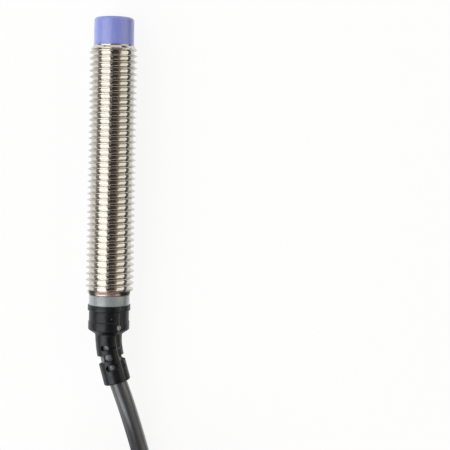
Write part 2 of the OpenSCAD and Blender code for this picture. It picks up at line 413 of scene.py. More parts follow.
def cap_plastic():
    """Violet-blue moulded plastic with a soft shine and faint turning marks."""
    made = Finish("cap_plastic", 0.4, IOR=1.55, Coat_Weight=0.8, Coat_Roughness=0.3,
                  Coat_IOR=1.55, Subsurface_Weight=0.4)
    made.shader.inputs["Subsurface Radius"].default_value = (1.0, 1.0, 1.3)
    made.shader.inputs["Subsurface Scale"].default_value = 0.8 * MM
    made.mottle((0.246, 0.29, 0.705), 0.035, 2.5)
    made.rough(0.36, 0.46, 0.5)
    made.bump(made.noise(0.09), 0.0015)
    made.bump(made.noise(0.4, 2.0, (0.2, 6, 0.2)), 0.001)
    return made.material


def nickel():
    """Nickel plate, darker in the roots, worn to copper on the chamfer, with a painted dark
    reflection at the chamfer's sides that stops short of its far left edge.
    """
    made = Finish("nickel_plated_brass", 0.14, metallic=1.0)
    plate = made.ramp(
        made.noise(1.2, 5.0), [(0.3, (0.59, 0.565, 0.515)), (0.7, (0.65, 0.625, 0.575))]
    )
    # the plate's colour is a little darker towards the roots of the thread
    depth = made.span(made.radius(), ROOT_R * MM, (ROOT_R + 0.25) * MM)
    darker_in_roots = made.mix(depth, (0.59, 0.565, 0.52), plate)
    # the chamfer's dark sides are a painted reflection of a dark surround; its far left edge
    # keeps a nickel colour
    copper, painted_dark_reflection, left_edge_nickel = (0.66, 0.49, 0.44), (0.03, 0.027, 0.025), (0.6, 0.58, 0.53)
    plated_from, worn_to = (barrel_low.y + 0.85) * MM, (barrel_low.y + 0.6) * MM
    chamfer = made.span(made.axis("Y"), plated_from, worn_to)
    left_painted_dark_share = made.span(made.axis("X"), -1.6 * MM, -2.2 * MM)
    right_painted_dark_share = made.span(made.axis("X"), 1.6 * MM, 2.2 * MM)
    left_edge = made.span(made.axis("X"), -2.95 * MM, -3.3 * MM)
    bare = made.mix(left_painted_dark_share, copper, painted_dark_reflection)
    bare = made.mix(right_painted_dark_share, bare, painted_dark_reflection)
    bare = made.mix(left_edge, bare, left_edge_nickel)
    made.colour(made.mix(chamfer, darker_in_roots, bare))
    shine = made.span(made.noise(0.35), 0.35, 0.65, 0.07, 0.12)
    dull = made.span(made.noise(0.2), 0.35, 0.65, 0.34, 0.46)
    mixed = made.mix(chamfer, shine, dull)
    made.links.new(mixed, made.shader.inputs["Roughness"])
    made.bump(made.noise(0.25, 4.0, (1, 4, 1)), 0.0012)
    made.bump(made.noise(0.9, 2.0), 0.004)
    return made.material


def ring_plastic():
    """Light grey plastic that lets a little light through."""
    made = Finish("light_ring_plastic", 0.3, IOR=1.5, Subsurface_Weight=0.25,
                  Coat_Weight=1.0, Coat_Roughness=0.24, Coat_IOR=1.55)
    made.shader.inputs["Subsurface Radius"].default_value = (0.8, 0.85, 0.9)
    made.shader.inputs["Subsurface Scale"].default_value = 0.3 * MM
    made.mottle((0.274, 0.302, 0.322), 0.04, 1.5)
    made.bump(made.noise(0.1), 0.0015)
    return made.material


def black_moulding():
    """Black elastomer: a satin skin with faint flow marks and fine dust."""
    made = Finish("black_moulding", 0.34, IOR=1.42)
    made.shader.inputs["Specular Tint"].default_value = (0.92, 0.95, 1.0, 1.0)
    dark, light = (0.0035, 0.004, 0.005), (0.0065, 0.0072, 0.0085)
    skin = made.ramp(made.noise(1.4, 3.0), [(0.35, dark), (0.65, light)])
    dust = made.ramp(made.noise(0.22, 6.0), [(0.66, (0, 0, 0)), (0.74, (1, 1, 1))])
    made.colour(made.mix(dust, skin, (0.05, 0.052, 0.056)))
    made.rough(0.28, 0.4, 0.8)
    made.bump(made.noise(0.07, 2.0), 0.003)
    made.bump(made.noise(0.8, 2.0), 0.006)
    return made.material


def cable_jacket():
    """Dark grey cable jacket, drawn lengthwise, a little shiny."""
    made = Finish("cable_jacket", 0.36, IOR=1.55, Coat_Weight=1.0, Coat_Roughness=0.28,
                  Coat_IOR=1.58)
    made.mottle((0.038, 0.041, 0.049), 0.08, 1.6)
    made.rough(0.32, 0.42, 0.7)
    made.bump(made.noise(0.12, 2.0), 0.002)
    made.bump(made.noise(1.6, 2.0), 0.01)
    return made.material


def seam_plastic():
    """Flash on the mould's parting line, paler than the moulding."""
    return plain("parting_flash", (0.1, 0.1, 0.1), 0.5, 0.5, 0.4, 0.05)


def board_laminate():
    """Green board with copper tracks that show through its lacquer."""
    made = Finish("board_laminate", 0.4)
    tracks = made.ramp(
        made.noise(0.7, 0.0, (3, 0.25, 1)),
        [(0.49, (0.012, 0.11, 0.045)), (0.51, (0.03, 0.22, 0.08))],
    )
    made.colour(tracks)
    made.bump(made.noise(0.15), 0.003)
    return made.material


def wound_copper():
    """Enamelled copper wire in close turns."""
    made = Finish("enamelled_copper", 0.28, metallic=1.0)
    made.mottle((0.72, 0.33, 0.16), 0.15, 0.5)
    made.bump(made.noise(0.08, 1.0, (0.1, 8, 0.1)), 0.01)
    return made.material


def bright_wire(name, base):
    """Bare metal with lengthwise drawing marks."""
    made = Finish(name, 0.3, metallic=1.0)
    made.mottle(base, 0.1, 0.4)
    made.rough(0.22, 0.4, 0.2)
    made.bump(made.noise(0.1, 3.0, (4, 0.5, 4)), 0.003)
    return made.material


MATERIALS = {
    "cap_plastic": cap_plastic(),
    "nickel_plated_brass": nickel(),
    "light_ring_plastic": ring_plastic(),
    "black_moulding": black_moulding(),
    "cable_jacket": cable_jacket(),
    "ferrite": plain("ferrite", (0.05, 0.05, 0.055), 0.6, 0.3, 0.3),
    "former_plastic": plain("former_plastic", (0.80, 0.76, 0.66), 0.45),
    "enamelled_copper": wound_copper(),
    "board_laminate": board_laminate(),
    "chip_epoxy": plain("chip_epoxy", (0.022, 0.022, 0.024), 0.55, 0.2, 0.3),
    "chip_ceramic": plain("chip_ceramic", (0.45, 0.32, 0.18), 0.5, 0.3, 0.2),
    "chip_resistor": plain("chip_resistor", (0.015, 0.016, 0.02), 0.35, 0.3, 0.3),
    "led_lens": plain("led_lens", (0.85, 0.68, 0.2), 0.2, 0.4, 0.1),
    "potting_resin": plain("potting_resin", (0.035, 0.03, 0.03), 0.5, 0.8, 0.2),
    "crimp_brass": bright_wire("crimp_brass", (0.70, 0.52, 0.24)),
    "brown_insulation": plain("brown_insulation", (0.13, 0.05, 0.022), 0.35),
    "blue_insulation": plain("blue_insulation", (0.015, 0.08, 0.38), 0.35),
    "black_insulation": plain("black_insulation", (0.012, 0.012, 0.014), 0.35),
    "tinned_wire": bright_wire("tinned_wire", (0.74, 0.72, 0.68)),
    "tie_plastic": plain("tie_plastic", (0.018, 0.018, 0.02), 0.4),
}
FLASH = seam_plastic()
# the cable inside the sleeve is painted far lighter than the free cable's jacket: a painted
# highlight, so it shows bright through the slots
PAINTED_LIGHT_JACKET = plain("painted_light_jacket", (0.19, 0.195, 0.205), 0.3, 1.2, 0.08, 0.12)
GATE = plain("torn_gate", (0.30, 0.30, 0.29), 0.55, 0.3, 0.35, 0.08)


def dress_cad_nodes():
    """Gives every CAD node the material of its slot."""
    for part in frame["record"]["subparts"]:
        slots = frame["nodes"][part["node"]].data.materials
        slots.clear()
        slots.append(MATERIALS[part["material_slot"]])


# ---------------------------------------------------------------- the free cable

LIE_Z = FLOOR + CABLE_R
ROUTE = [  # the points of the CAD route, from inside the sleeve's mouth, then on to the hank
    (1, -57.4, 0), (1.34, -58.4, 0), (1.76, -59.5, 0), (2.31, -61, -0.1),
    (2.99, -63, -0.45), (3.59, -65, -0.95), (4.16, -67, -1.5), (4.72, -69, -1.95),
    (5.28, -71, -2.25), (5.86, -73, -2.4), (6.47, -75, LIE_Z), (7.1, -77, LIE_Z),
    (8.6, -80.5, LIE_Z), (10.1, -83.8, LIE_Z), (11.2, -87, LIE_Z),
]

# the hank: turns that run down one side and up the other, drawn in at a waist
HANK_X, HANK_Y, HANK_RUN = -0.9, -90.0, 59.0
LANE_R = {"outer": 12.55, "inner": 9.65}
LANE_WAIST = {"outer": 4.35, "inner": 1.45}
CLIMB_BULGE = {"outer": 0.8, "inner": -0.5}  # how a loop widens as it climbs a layer
LANES = ["outer", "inner", "inner", "outer"]
TURNS = 10
HANK_MID = HANK_Y - HANK_RUN / 2
TIE_LIFT = 1.1
TAIL_Y = -92.0


def lane_half(lane, y):
    """Half the hank's width in a lane, at a place along its run."""
    share = (1 + math.cos(2 * math.pi * (y - HANK_Y) / HANK_RUN)) / 2
    return LANE_WAIST[lane] + (LANE_R[lane] - LANE_WAIST[lane]) * share


def lifted(y):
    """How far the tie under the bundle lifts the turns."""
    return TIE_LIFT * (1 - ease((abs(y - HANK_MID) - 2) / 14))


def hank_turns():
    """The turns' centreline, layer on layer, ending in the tail on top."""
    made = []
    run_steps, loop_steps = 14, 12
    places = [(LANES[i % 4], i // 2) for i in range(TURNS)] + [("inner", TURNS // 2)]
    for (lane, layer), (next_lane, next_layer) in zip(places, places[1:]):
        z = LIE_Z + layer * CABLE_D
        r = LANE_R[lane]
        down = [HANK_Y - HANK_RUN * k / run_steps for k in range(run_steps + 1)]
        for y in down:
            made.append((HANK_X + lane_half(lane, y), y, z + lifted(y)))
        for k in range(1, loop_steps):
            a = -math.pi * k / loop_steps
            made.append(
                (HANK_X + r * math.cos(a), HANK_Y - HANK_RUN + r * math.sin(a), z)
            )
        for y in reversed(down):
            made.append((HANK_X - lane_half(lane, y), y, z + lifted(y)))
        climbs = next_layer != layer
        for k in range(1, loop_steps):
            a = math.pi - math.pi * k / loop_steps
            t = ease((k / loop_steps - 0.08) / 0.84)
            bulge = math.sin(math.pi * t) * CLIMB_BULGE[lane]
            wide = r + (LANE_R[next_lane] - r) * t + (bulge if climbs else 0)
            rise = (next_layer - layer) * CABLE_D * t
            made.append(
                (HANK_X + wide * math.cos(a), HANK_Y + wide * math.sin(a), z + rise)
            )
    lane, layer = places[-1]
    for y in (HANK_Y, TAIL_Y):
        made.append((HANK_X + lane_half(lane, y), y, LIE_Z + layer * CABLE_D + lifted(y)))
    return made


def add_cable():
    """The free cable as one curve, 2 m from the sleeve's mouth to its stripped end."""
    line = smooth_line(ROUTE + hank_turns(), 2.2)
    data = bpy.data.curves.new("free_cable", "CURVE")
    data.dimensions = "3D"
    data.bevel_depth = CABLE_R * MM
    data.bevel_resolution = 7
    data.use_fill_caps = True
    spline = data.splines.new("POLY")
    spline.points.add(len(line) - 1)
    for point, place in zip(spline.points, line):
        point.co = (*(place * MM), 1.0)
    data.materials.append(MATERIALS["cable_jacket"])
    cable = bpy.data.objects.new("free_cable", data)
    bpy.context.collection.objects.link(cable)
    return cable, line


def add_leads(end):
    """Three stripped cores that fan out on the hank, each with a bare tip."""
    made = []
    for k, colour in enumerate(("brown", "blue", "black")):
        low, high = box_mm(f"{colour}_lead")
        tip_low = box_mm(f"{colour}_wire")[0]
        z = (low.z + high.z) / 2
        near = Vector((high.x - CORE_R, high.y, z))
        far = Vector((low.x + CORE_R, low.y, z))
        tip = Vector((tip_low.x + 0.3, tip_low.y, z))
        spread = Vector(((k - 1) * 0.55, 0.6, 0.3 if k == 1 else -0.25))
        waved = near.lerp(far, 0.5) + Vector(((0.35, -0.2, 0.3)[k], 0, 0))
        start = end + spread
        path = smooth_line([start, near.lerp(far, 0.2), waved, far], 0.6)
        core = tube(f"{colour}_lead_end", path, CORE_R,
                    MATERIALS[f"{colour}_insulation"], 20)
        bare = stranded(f"{colour}_lead_wire", far, tip)
        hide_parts(f"{colour}_lead")
        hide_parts(f"{colour}_wire")
        made += [core, bare]
    for piece in made:
        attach(piece, END)
    return made


def stranded(name, start, end):
    """A tinned bunch of seven twisted strands."""
    strand_r, circle_r, steps = 0.1, 0.19, 16
    ahead = (end - start).normalized()
    side = ahead.cross(Vector((0, 0, 1))).normalized()
    up = side.cross(ahead)
    strands = [tube(name, [start - ahead, start, end], strand_r, MATERIALS["tinned_wire"], 10)]
    for s in range(6):
        line = []
        for k in range(steps + 1):
            a = 2 * math.pi * (s / 6 + k / steps)
            offset = side * math.cos(a) + up * math.sin(a)
            line.append(start.lerp(end, k / steps) + offset * circle_r)
        strands.append(tube(f"{name}_{s}", line, strand_r, MATERIALS["tinned_wire"], 10))
    return joined(name, strands)


def add_tie():
    """A ratchet tie round the hank's waist: a strap with rounded corners and a head."""
    low, high = box_mm("cable_tie")
    middle = (low + high) / 2
    thick, wide = 0.9, high.y - low.y
    half_w, half_h = (high.x - low.x) / 2, (high.z - low.z) / 2
    outer = fillet([(-half_w, -half_h, 2.2), (half_w, -half_h, 2.2),
                    (half_w, half_h, 2.2), (-half_w, half_h, 2.2)], 8)
    count = len(outer)
    ring = []
    for i in range(count):
        here = Vector(outer[i])
        ahead = (Vector(outer[(i + 1) % count]) - Vector(outer[i - 1])).normalized()
        ring.append((here, Vector((-ahead.y, ahead.x))))
    edge = 0.18
    section = [(0, -wide / 2 + edge), (edge, -wide / 2), (thick - edge, -wide / 2),
               (thick, -wide / 2 + edge), (thick, wide / 2 - edge),
               (thick - edge, wide / 2), (edge, wide / 2), (0, wide / 2 - edge)]
    verts, faces = [], []
    for here, inward in ring:
        for depth, y in section:
            p = here + inward * depth
            verts.append((middle.x + p.x, middle.y + y, middle.z + p.y))
    n = len(section)
    for i in range(count):
        for k in range(n):
            a, b = i * n, ((i + 1) % count) * n
            faces.append((a + k, a + (k + 1) % n, b + (k + 1) % n, b + k))
    strap = new_object("tie_strap", verts, faces, MATERIALS["tie_plastic"])
    sharp_by_angle(strap, 40)
    head = block("tie_head", Vector((high.x + 0.6, middle.y, middle.z + 1.5)),
                 Vector((2.6, wide + 1.4, 3.6)), 0.35)
    tail = block("tie_tail", Vector((high.x + 0.9, middle.y, middle.z + 4.4)),
                 Vector((0.8, wide - 0.4, 3.2)), 0.2)
    tie = joined("ratchet_tie", [strap, head, tail])
    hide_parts("cable_tie")
    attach(tie, END)
    return tie


def block(name, centre, size, edge):
    """A block with rounded edges."""
    work = bmesh.new()
    bmesh.ops.create_cube(work, size=1.0)
    for v in work.verts:
        v.co = Vector(v.co[i] * size[i] + centre[i] for i in range(3))
    bmesh.ops.bevel(work, geom=work.edges[:], offset=edge, segments=3, affect="EDGES")
    work.verts.index_update()
    verts = [v.co.copy() for v in work.verts]
    faces = [tuple(v.index for v in f.verts) for f in work.faces]
    work.free()
    made = new_object(name, verts, faces, MATERIALS["tie_plastic"])
    sharp_by_angle(made, 40)
    return made


# ---------------------------------------------------------------- cap, ring and collar


def add_cap():
    """The sensing cap: a turned cup with a soft front edge and a stem in the barrel."""
    back, stem_r = cap_low.y, BORE_R - 0.01
    outline = fillet([
        (0.01, 0), (1.5, 0), (CAP_R, 0, 0.52), (CAP_R, barrel_high.y + 0.06, 0.05),
        (CAP_R - 0.06, barrel_high.y, 0.02), (stem_r, barrel_high.y), (stem_r, back),
        (2.55, back), (2.55, -0.65, 0.1), (0.01, -0.65)])
    cap = lathe("cap_shell", outline, MATERIALS["cap_plastic"])
    sharp_by_angle(cap, 50)
    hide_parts("sensing_cap")
    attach(cap, ROOT)


def add_ring():
    """The light ring: a short band with a bevelled front edge and a stem."""
    top, bottom, stem_r = barrel_low.y, ring_low.y, BORE_R - 0.01
    outline = fillet([
        (2.2, ring_high.y), (stem_r, ring_high.y), (stem_r, top),
        (RING_R - 0.16, top, 0.04), (RING_R, top - 0.16, 0.08),
        (RING_R, bottom + 0.03, 0.03), (RING_R - 0.03, bottom), (2.2, bottom)])
    ring = lathe("light_ring", outline, MATERIALS["light_ring_plastic"])
    sharp_by_angle(ring, 50)
    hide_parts("indicator_ring")
    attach(ring, ROOT)


COLLAR_TOP = ring_low.y
COLLAR_OUTSIDE = [  # radius, y, rounding: the bands, the cone and the root of the neck
    (COLLAR_R - 0.02, COLLAR_TOP, 0.08),
    (COLLAR_R, COLLAR_TOP - 0.88, 0.1),
    (COLLAR_R - 0.28, COLLAR_TOP - 1.0, 0.05),
    (COLLAR_R - 0.22, COLLAR_TOP - 1.22, 0.08),
    (COLLAR_R - 0.225, COLLAR_TOP - 2.6, 0.06),
    (COLLAR_R - 0.13, COLLAR_TOP - 2.7, 0.06),
    (COLLAR_R - 0.12, COLLAR_TOP - 3.98, 0.3),
    (RELIEF_R + 0.03, COLLAR_TOP - 4.72, 0.06),
    (RELIEF_R - 0.02, COLLAR_TOP - 4.95),
]


def add_collar():
    """The collar of the black moulding, with its parting flash, gate mark and a speck."""
    inside = [
        (1.52, COLLAR_TOP - 4.95), (1.52, COLLAR_TOP - 3.4), (1.88, COLLAR_TOP - 3.4),
        (1.88, COLLAR_TOP),
    ]
    collar = lathe("collar_moulding", fillet(COLLAR_OUTSIDE + inside, 6),
                   MATERIALS["black_moulding"], 160)
    sharp_by_angle(collar, 50)
    outside = fillet(COLLAR_OUTSIDE + [(0, COLLAR_TOP - 5), (0, COLLAR_TOP + 1)], 4)[:-2]
    flash = flash_line("collar_flash", outside, PARTING)
    gate = torn_stub("gate", COLLAR_TOP - 3.42, PARTING - 0.02, 0.4, 0.09)
    speck = torn_stub("speck", COLLAR_TOP - 1.97, math.radians(13), 0.06, -0.03)
    moulding = joined("collar_moulding", [collar, flash, gate, speck])
    return moulding


PARTING = math.radians(36.5)  # the parting plane's place round the axis


def flash_line(name, outline, angle, wide=0.085, proud=0.018, drift=0.0):
    """A thin ridge of flash along an outline of (radius, y), drifting round on its way."""
    section = [(-wide / 2, -0.08), (-wide / 2, 0), (0, proud), (wide / 2, 0), (wide / 2, -0.08)]
    verts, faces = [], []
    for i, (r, y) in enumerate(outline):
        for across, out in section:
            a = angle + drift * i / len(outline) + across / r
            verts.append(((r + out) * math.sin(a), y, (r + out) * math.cos(a)))
    n = len(section)
    for i in range(len(outline) - 1):
        for k in range(n):
            a, b = i * n + k, i * n + (k + 1) % n
            faces.append((a, b, b + n, a + n))
    faces += [tuple(range(n)), tuple((len(outline) - 1) * n + k for k in range(n))]
    return new_object(name, verts, faces, FLASH)


def torn_stub(name, y, angle, size, proud):
    """A ragged little mound on the collar: a torn gate or a speck."""
    verts, faces = [], []
    rings, sides = 5, 18
    for i in range(rings):
        t = i / (rings - 1)
        for k in range(sides):
            a = 2 * math.pi * k / sides
            ragged = 1 + 0.1 * math.sin(3 * a + 1) + 0.06 * math.sin(5 * a)
            spread = size * ragged * (1 - t) ** 0.6
            r = COLLAR_R - 0.15 + (proud + 0.05) * math.sin(t * math.pi / 2)
            turn = angle + spread * math.cos(a) / COLLAR_R
            verts.append((r * math.sin(turn), y + spread * 1.1 * math.sin(a),
                          r * math.cos(turn)))
    for i in range(rings - 1):
        for k in range(sides):
            n = (k + 1) % sides
            faces.append((i * sides + k, i * sides + n, (i + 1) * sides + n,
                          (i + 1) * sides + k))
    faces.append(tuple(range(sides)))
    return new_object(name, verts, faces, GATE)


# ---------------------------------------------------------------- threaded barrel

# rows of the mesh in pitches from a crest's middle; even ones over the first pitches
HALF_FORM = [0, 0.03, 0.055, 0.09, 0.13, 0.17, 0.205, 0.222, 0.232, 0.244, 0.262]
FORM = HALF_FORM + [0.5] + [1 - t for t in reversed(HALF_FORM[1:])]
EVEN_FORM = [k / 28 for k in range(28)]
EVEN_PITCHES = 3
COLUMNS = 112
RIM_R = ROOT_R + 0.03
RIM_LENGTH, RIM_SLOPE = 0.15, 0.8  # the front rim and the cone that follows it
LEAD_IN = 0.86  # where the first groove is at its full depth
REAR_R, REAR_SLOPE = CREST_R - 0.55, 0.66  # the chamfer at the rear
ROUNDING = 0.04


def soft_min(a, b, k):
    """The smaller of two values, rounded over where they are within k of each other."""
    h = max(k - abs(a - b), 0.0) / k
    return min(a, b) - h * h * k / 4


def thread_radius(y, turn):
    """Radius of the outside at a place along the axis and a share of a turn round it."""
    phase = ((barrel_high.y + THREAD_LEAD - y) / PITCH + turn) % 1.0
    off_crest = min(phase, 1 - phase) * PITCH
    flank = CREST_R + 0.02 - (off_crest - CREST_HALF) * FLANK_SLOPE
    run_in = barrel_high.y - y
    rim = RIM_R + max(0.0, run_in - RIM_LENGTH) * RIM_SLOPE
    fill = max(0.0, min(rim, CREST_R) - ROOT_R) * ease((LEAD_IN - run_in) / 0.3)
    r = -soft_min(-soft_min(CREST_R, flank, 0.05), -(ROOT_R + fill), ROUNDING)
    rear = REAR_R + (y - barrel_low.y) * REAR_SLOPE
    return soft_min(soft_min(r, rim, ROUNDING), rear, ROUNDING)


def add_barrel():
    """The barrel with its true right-hand helical thread, as one closed skin."""
    top, bottom = barrel_high.y, barrel_low.y
    pitches = math.ceil((top - bottom) / PITCH) + 2
    rows = [top + PITCH - (p + t) * PITCH for p in range(pitches)
            for t in (EVEN_FORM if p < EVEN_PITCHES else FORM)]
    verts, faces = [], []
    for j in range(COLUMNS + 1):
        turn = j / COLUMNS
        a = 2 * math.pi * (turn if j < COLUMNS else 0)
        for y_row in rows:
            y = min(max(y_row + PITCH * turn, bottom), top)
            r = thread_radius(y, turn)
            verts.append((r * math.sin(a), y, r * math.cos(a)))
    count = len(rows)
    for j in range(COLUMNS):
        for i in range(count - 1):
            a, b = j * count + i, (j + 1) * count + i
            faces.append((a, a + 1, b + 1, b))
    start = len(verts)
    for j in range(COLUMNS):
        turn = j / COLUMNS
        a = 2 * math.pi * turn
        for r, y in ((thread_radius(top, turn), top), (BORE_R, top),
                     (BORE_R, bottom), (thread_radius(bottom, turn), bottom)):
            verts.append((r * math.sin(a), y, r * math.cos(a)))
    for j in range(COLUMNS):
        a, b = start + 4 * j, start + 4 * ((j + 1) % COLUMNS)
        for k in range(3):
            faces.append((a + k, b + k, b + k + 1, a + k + 1))
    barrel = new_object("barrel_shell", verts, faces, MATERIALS["nickel_plated_brass"])
    sharp_by_angle(barrel, 62)
    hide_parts("threaded_barrel")
    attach(barrel, ROOT)


# ---------------------------------------------------------------- slotted strain relief

# places along the sleeve, as if it were straight
ROW_1, ROW_2, ROW_3 = -53.5, -55.1, -56.78
SIDE_1, SIDE_3 = -53.87, -57.04
NOTCH_LEFT, NOTCH_RIGHT = -55.33, -55.67
OUTSIDE = 3.2  # a radius clear of the sleeve


def bent(point):
    """Moves a point of the straight sleeve to the bent one."""
    x, y, z = point
    reach = BEND_Y - y
    if reach <= 0:
        return Vector(point)
    angle = min(reach, BEND_ARC) / BEND_R
    centre = Vector((BEND_R * (1 - math.cos(angle)), BEND_Y - BEND_R * math.sin(angle), 0))
    ahead = Vector((math.sin(angle), -math.cos(angle), 0))
    side = Vector((math.cos(angle), math.sin(angle), 0))
    return centre + ahead * max(0.0, reach - BEND_ARC) + side * x + Vector((0, 0, z))


def slot_cutter(y, wide, high, turn, inner=0.6):
    """A prism with round ends that cuts outwards through the sleeve's wall."""
    outline = []
    r, half = min(wide, high) / 2, (max(wide, high) - min(wide, high)) / 2
    for k in range(24):
        a = 2 * math.pi * k / 24
        across = r * math.cos(a) + (half if math.cos(a) > 0 else -half)
        outline.append((across, r * math.sin(a)))
    rotation = Matrix.Rotation(math.radians(turn), 3, "Y")
    verts = [
        rotation @ Vector((u, 0, z)) + Vector((0, y + v, 0))
        for z in (inner, OUTSIDE)
        for u, v in outline
    ]
    faces = [(k, (k + 1) % 24, 24 + (k + 1) % 24, 24 + k) for k in range(24)]
    faces += [tuple(range(24)), tuple(range(24, 48))]
    return verts, faces


def side_notch(side, reach, y, high, corner):
    """A notch across the sleeve's side, down to the cable, with rounded inner corners."""
    near, far = side * reach, side * 5.0
    outline = fillet([(near, y - high / 2, corner), (near, y + high / 2, corner),
                      (far, y + high / 2), (far, y - high / 2)])
    count = len(outline)
    verts = [Vector((u, v, z)) for z in (-3.0, 3.0) for u, v in outline]
    faces = [(k, (k + 1) % count, count + (k + 1) % count, count + k) for k in range(count)]
    faces += [tuple(range(count)), tuple(range(count, 2 * count))]
    return verts, faces


def sleeve_cutters():
    """Everything that cuts through the sleeve's wall: three rows, a side slot, two notches."""
    made = []
    for turn in (0, 180):
        made.append(slot_cutter(ROW_1, 1.33, 0.76, turn - 16))
        made.append(slot_cutter(ROW_2, 1.08, 1.08, turn - 10))
        made.append(slot_cutter(ROW_3, 1.42, 0.88, turn - 8))
    made.append(slot_cutter(SIDE_1, 0.9, 0.5, 258))
    made.append(side_notch(-1, 1.0, NOTCH_LEFT, 1.2, 0.12))
    made.append(side_notch(1, 1.5, NOTCH_RIGHT, 0.92, 0.3))
    verts, faces = [], []
    for points, polygons in made:
        start = len(verts)
        verts += points
        faces += [tuple(start + k for k in f) for f in polygons]
    return verts, faces


def crease_cutters():
    """Shallow creases that run on from the slots where the mould's pins end."""
    made = []
    for y, turn, wide, high, floor_r in (
        (ROW_1 - 0.1, 16, 1.6, 0.18, RELIEF_R - 0.32),
        (SIDE_3, 59, 0.58, 0.48, RELIEF_R - 0.2),
        (ROW_3, 16, 1.3, 0.8, RELIEF_R - 0.2),
        (ROW_2, -5, 1.36, 1.16, RELIEF_R - 0.17),
        (ROW_2, 175, 1.36, 1.16, RELIEF_R - 0.17),
        (ROW_2, -24, 0.75, 0.9, RELIEF_R - 0.5),
        (ROW_3, 196, 1.3, 0.8, RELIEF_R - 0.2),
        (ROW_1 - 0.1, 196, 1.6, 0.18, RELIEF_R - 0.32),
        (SIDE_1, 68, 1.3, 0.42, RELIEF_R - 0.22),
    ):
        made.append(slot_cutter(y, wide, high, turn, floor_r))
    return made


def in_millimetres(name, verts, faces):
    """A scratch object kept in millimetres, which modifiers handle better."""
    thing = new_object(name, verts, faces)
    thing.data.transform(Matrix.Scale(1 / MM, 4))
    return thing


def sleeve_body():
    """The slotted sleeve, straight: turned, slotted, remeshed and softened."""
    top, end = BEND_Y + 0.1, SLEEVE_END_Y
    outline = fillet([
        (1.53, top), (RELIEF_R - 0.01, top), (RELIEF_R - 0.07, BEND_Y - 1.3, 1.0),
        (RELIEF_R - 0.07, NOTCH_LEFT + 0.3), (RELIEF_R - 0.03, NOTCH_LEFT - 0.3),
        (RELIEF_R - 0.02, end, 0.22), (1.98, end, 0.08), (1.62, ROW_3 - 0.3),
        (1.53, ROW_1)], 6)
    lathed = lathe("sleeve", outline, None, 96)
    lathed.data.transform(Matrix.Scale(1 / MM, 4))
    cutters = [in_millimetres("cutter", *sleeve_cutters())]
    for verts, faces in crease_cutters():
        cutters.append(in_millimetres("crease", verts, faces))
    steps = [("BOOLEAN", {"operation": "DIFFERENCE", "solver": "EXACT", "object": c})
             for c in cutters]
    steps += [
        ("REMESH", {"mode": "VOXEL", "voxel_size": 0.05, "use_smooth_shade": True}),
        ("SMOOTH", {"factor": 0.5, "iterations": 3}),
    ]
    with_modifiers(lathed, steps)
    for cutter in cutters:
        bpy.data.objects.remove(cutter)
    return lathed


def add_sleeve():
    """The slotted sleeve, bent as the cable pulls it, with its parting flash."""
    sleeve = sleeve_body()
    sleeve.data.transform(Matrix.Scale(MM, 4))
    sleeve.data.materials.append(MATERIALS["black_moulding"])
    step, end = 0.12, SLEEVE_END_Y + 0.3
    stations = [BEND_Y - 0.05 - k * step for k in range(63)]
    line = [(RELIEF_R, y) for y in stations if y > end]
    flash = flash_line("sleeve_flash", line, PARTING, 0.09, 0.02, math.radians(9))
    sleeve = joined("slotted_sleeve", [sleeve, flash])
    for v in sleeve.data.vertices:
        v.co = bent(v.co / MM) * MM
    sleeve.data.update()
    return sleeve


def blended(piece):
    """Bakes a piece's placement into its mesh."""
    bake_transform(piece)


def hump(y, middle, width):
    """A smooth hump of height 1."""
    return math.exp(-((y - middle) / width) ** 2)


def cable_offset(y):
    """How far the bent cable leans right in the sleeve, less its bulge in the left notch."""
    pressed = 0.1 * (hump(y, ROW_1, 0.6) + hump(y, ROW_3, 0.6))
    return pressed - 0.22 * hump(y, NOTCH_LEFT, 0.5)


def add_relief():
    """The collar, the slotted sleeve and the cable's jacket inside them."""
    collar, sleeve = add_collar(), add_sleeve()
    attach(collar, ROOT)
    blended(sleeve)
    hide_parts("relief_collar")
    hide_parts("relief_tip")
    start, step = -49.6, 0.175  # from inside the collar to the sleeve's mouth
    stations = [start - step * k for k in range(47)]
    middle = [bent((cable_offset(y), y, 0)) for y in stations]
    # painted lighter than the free cable: a painted highlight in the slots
    inner = tube("cable_in_sleeve", middle, CABLE_R + 0.04, PAINTED_LIGHT_JACKET, 48)
    blended(inner)
    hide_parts("inner_cable")


# ---------------------------------------------------------------- floor and light

STRIP_LEVEL = 1.15  # how brightly the table's bands light the sensor
SEEN_LEVEL = 0.9  # how brightly the camera sees the table
FAR, NEAR = 0.35, 0.34  # distances of the softboxes and of the ones that add to them


def painted_light_strip(nodes, links):
    """How brightly each place of the table glows for rays other than the camera's: painted
    bright bands beside the sensor, a painted shadow under it and darker floor further out.
    """
    place = nodes.new("ShaderNodeTexCoord")
    split = nodes.new("ShaderNodeSeparateXYZ")
    across = nodes.new("ShaderNodeMapRange")
    bands = nodes.new("ShaderNodeValToRGB")
    reach = 0.12
    across.inputs["From Min"].default_value = -reach
    across.inputs["From Max"].default_value = reach
    links.new(place.outputs["Object"], split.inputs["Vector"])
    links.new(split.outputs["X"], across.inputs["Value"])
    links.new(across.outputs["Result"], bands.inputs["Fac"])
    # x across the table in metres, and the share of the full level there; the low shares under
    # the sensor are a painted shadow
    stops = [(-0.1, 0.05), (-0.075, 0.84), (-0.0048, 0.84), (-0.0043, 0.12), (0.0033, 0.12),
             (0.0038, 0.8), (0.0103, 0.8), (0.0153, 0.03), (0.08, 0.03), (0.1, 1)]
    elements = bands.color_ramp.elements
    while len(elements) < len(stops):
        elements.new(0.5)
    for element, (x, share) in zip(elements, stops):
        element.position = (x + reach) / (2 * reach)
        element.color = [share * STRIP_LEVEL] * 3 + [1]
    return bands.outputs["Color"]


